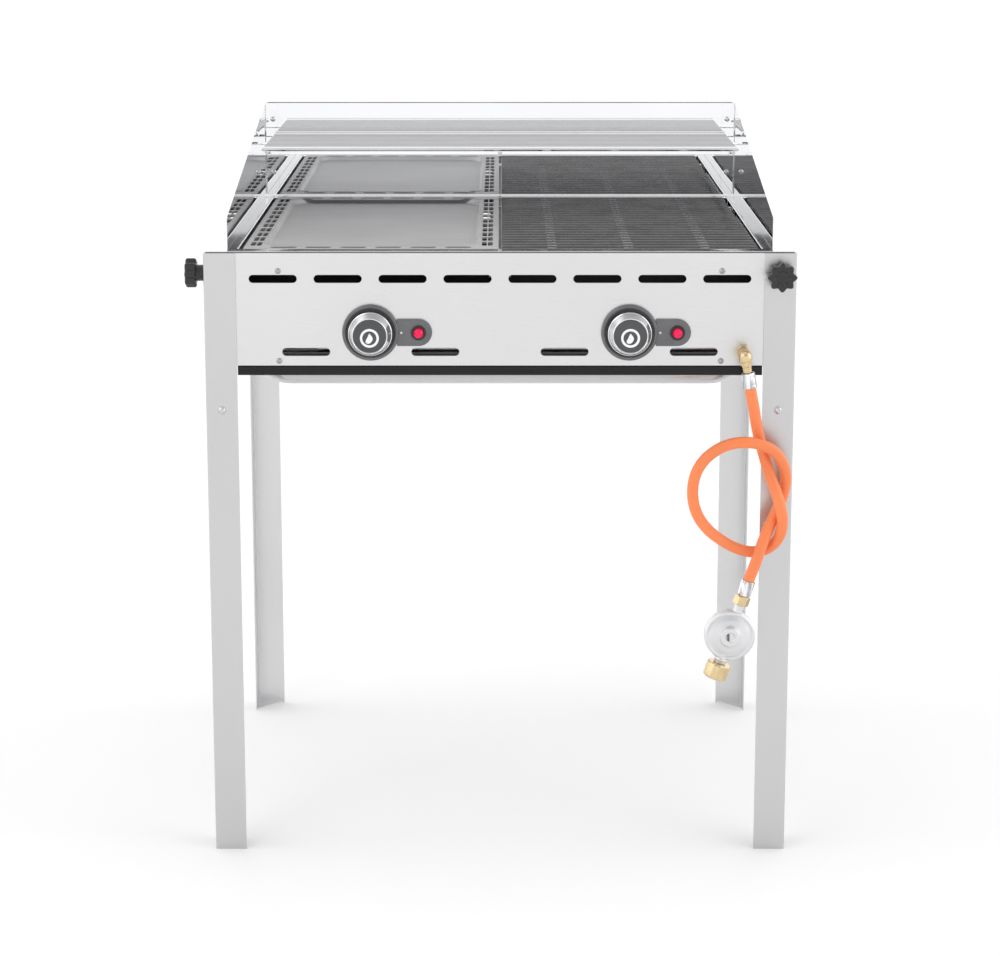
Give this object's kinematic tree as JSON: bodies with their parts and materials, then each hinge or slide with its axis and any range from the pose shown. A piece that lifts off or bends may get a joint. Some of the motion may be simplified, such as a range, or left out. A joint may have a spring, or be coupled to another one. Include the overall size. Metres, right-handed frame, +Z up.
{
  "type": "free-standing gas charbroiler grill",
  "caption": "Free-standing stainless gas grill with folding angle legs, griddle plate, wire grate, windshield, warming rack, drip tray and hanging gas hose with regulator.",
  "frame": {"origin": "floor level, under the middle of the grill's box without the hose", "axes": "+Z up, controls face -Y, +X to the right as seen by the cook"},
  "size_m": [0.788, 0.6892, 0.9205],
  "materials": {
    "stainless": "satin stainless sheet with fine horizontal grain",
    "polished": "mirror-polished stainless sheet",
    "dark_strip": "glossy dark strip",
    "iron": "dull grey cooking plate",
    "grate_steel": "dark dull-plated wire",
    "chrome": "bright chrome",
    "zinc": "zinc-plated steel",
    "brass": "satin brass",
    "aluminium": "crimped bright sleeve",
    "black_plastic": "black moulded plastic",
    "grey_plastic": "dark grey moulded plastic",
    "knob_grey": "grey knob face",
    "red_plastic": "glossy red button",
    "hose_rubber": "smooth orange gas hose",
    "regulator_grey": "cast body with silver-grey coat"
  },
  "bodies": {
    "body": {"front_panel": "stainless", "rear_panel": "stainless", "side_panel_left": "stainless", "side_panel_right": "stainless", "deck_frame": "stainless", "centre_support": "stainless", "lower_front_strip": "dark_strip", "tray_runner_left": "dark_strip", "tray_runner_right": "dark_strip", "pivot_bracket_front_left": "zinc", "pivot_bracket_front_right": "zinc", "pivot_bracket_rear_left": "zinc", "pivot_bracket_rear_right": "zinc", "pivot_screw_front_left": "zinc", "pivot_screw_front_right": "zinc", "pivot_screw_rear_left": "zinc", "pivot_screw_rear_right": "zinc", "burner_left": "stainless", "burner_right": "stainless", "burner_rail": "stainless", "gas_manifold": "zinc", "gas_valve_left": "brass", "gas_valve_right": "brass", "pilot_left": "zinc", "pilot_right": "zinc", "bezel_left": "grey_plastic", "bezel_right": "grey_plastic", "igniter_body_left": "black_plastic", "igniter_body_right": "black_plastic", "gas_elbow": "brass", "ferrule_top": "aluminium", "gas_hose": "hose_rubber", "ferrule_bottom": "aluminium", "regulator_body": "regulator_grey", "firebox_liner": "dark_strip"},
    "tray": {"drip_tray": "stainless"},
    "front_left_leg": {"leg_front_left": "stainless"},
    "front_right_leg": {"leg_front_right": "stainless"},
    "rear_left_leg": {"leg_rear_left": "stainless"},
    "rear_right_leg": {"leg_rear_right": "stainless"},
    "front_left_star": {"star_knob_front_left": "black_plastic"},
    "front_right_star": {"star_knob_front_right": "black_plastic"},
    "rear_left_star": {"star_knob_rear_left": "black_plastic"},
    "rear_right_star": {"star_knob_rear_right": "black_plastic"},
    "griddle": {"griddle_plate": "iron"},
    "grill_grate": {"grate": "grate_steel"},
    "windshield": {"windshield_back": "polished", "windshield_left": "polished", "windshield_right": "polished"},
    "rack": {"warming_rack": "chrome"},
    "left_stem": {"valve_stem_left": "zinc"},
    "right_stem": {"valve_stem_right": "zinc"},
    "left_knob": {"control_knob_left": "knob_grey", "knob_skirt_left": "chrome"},
    "right_knob": {"control_knob_right": "knob_grey", "knob_skirt_right": "chrome"},
    "left_button": {"ignition_button_left": "red_plastic"},
    "right_button": {"ignition_button_right": "red_plastic"},
    "hose_nut": {"outlet_nut": "brass"},
    "cylinder_nut": {"hand_nut": "brass"}
  },
  "joints": [
    {"name": "front_left_leg_fold", "type": "hinge", "parent": "body", "child": "front_left_leg", "pos_m": [-0.35, -0.29875, 0.5835], "axis": [0, -1, 0], "range_deg": [0, 90]},
    {"name": "front_left_star_turn", "type": "hinge", "parent": "front_left_leg", "child": "front_left_star", "pos_m": [-0.37, -0.27875, 0.7555], "axis": [-1, 0, 0], "range_deg": [0, 1440]},
    {"name": "front_right_leg_fold", "type": "hinge", "parent": "body", "child": "front_right_leg", "pos_m": [0.35, -0.29875, 0.5835], "axis": [0, 1, 0], "range_deg": [0, 66]},
    {"name": "front_right_star_turn", "type": "hinge", "parent": "body", "child": "front_right_star", "pos_m": [0.35, -0.29875, 0.7555], "axis": [0, -1, 0], "range_deg": [0, 1440]},
    {"name": "rear_left_leg_fold", "type": "hinge", "parent": "body", "child": "rear_left_leg", "pos_m": [-0.35, 0.31325, 0.5835], "axis": [0, -1, 0], "range_deg": [0, 66]},
    {"name": "rear_left_star_turn", "type": "hinge", "parent": "body", "child": "rear_left_star", "pos_m": [-0.35, 0.31325, 0.7555], "axis": [0, 1, 0], "range_deg": [0, 1440]},
    {"name": "rear_right_leg_fold", "type": "hinge", "parent": "body", "child": "rear_right_leg", "pos_m": [0.35, 0.31325, 0.5835], "axis": [0, 1, 0], "range_deg": [0, 90]},
    {"name": "rear_right_star_turn", "type": "hinge", "parent": "rear_right_leg", "child": "rear_right_star", "pos_m": [0.37, 0.29325, 0.7555], "axis": [1, 0, 0], "range_deg": [0, 1440]},
    {"name": "tray_slide", "type": "slide", "parent": "body", "child": "tray", "axis": [0, 1, 0], "range_m": [0, 0.45]},
    {"name": "griddle_lift", "type": "slide", "parent": "body", "child": "griddle", "axis": [0, 0, 1], "range_m": [0, 0.06]},
    {"name": "grate_lift", "type": "slide", "parent": "body", "child": "grill_grate", "axis": [0, 0, 1], "range_m": [0, 0.06]},
    {"name": "windshield_lift", "type": "slide", "parent": "body", "child": "windshield", "axis": [0, 0, 1], "range_m": [0, 0.1]},
    {"name": "rack_lift", "type": "slide", "parent": "windshield", "child": "rack", "axis": [0, 0, 1], "range_m": [0, 0.05]},
    {"name": "left_tap_turn", "type": "hinge", "parent": "body", "child": "left_stem", "pos_m": [-0.162, -0.29695, 0.683], "axis": [0, -1, 0], "range_deg": [0, 180]},
    {"name": "left_knob_push", "type": "slide", "parent": "left_stem", "child": "left_knob", "axis": [0, 1, 0], "range_m": [0, 0.003], "stiffness_N_per_m": 1500, "springref_m": -0.001},
    {"name": "left_button_push", "type": "slide", "parent": "body", "child": "left_button", "axis": [0, 1, 0], "range_m": [0, 0.0036], "stiffness_N_per_m": 1200, "springref_m": -0.001},
    {"name": "right_tap_turn", "type": "hinge", "parent": "body", "child": "right_stem", "pos_m": [0.162, -0.29695, 0.683], "axis": [0, -1, 0], "range_deg": [0, 180]},
    {"name": "right_knob_push", "type": "slide", "parent": "right_stem", "child": "right_knob", "axis": [0, 1, 0], "range_m": [0, 0.003], "stiffness_N_per_m": 1500, "springref_m": -0.001},
    {"name": "right_button_push", "type": "slide", "parent": "body", "child": "right_button", "axis": [0, 1, 0], "range_m": [0, 0.0036], "stiffness_N_per_m": 1200, "springref_m": -0.001},
    {"name": "hose_nut_turn", "type": "hinge", "parent": "body", "child": "hose_nut", "pos_m": [0.30535, -0.33475, 0.34608], "axis": [-0.309, 0, -0.9511], "continuous": true},
    {"name": "cylinder_nut_turn", "type": "hinge", "parent": "body", "child": "cylinder_nut", "pos_m": [0.27556, -0.33475, 0.2544], "axis": [-0.309, 0, -0.9511], "continuous": true}
  ]
}
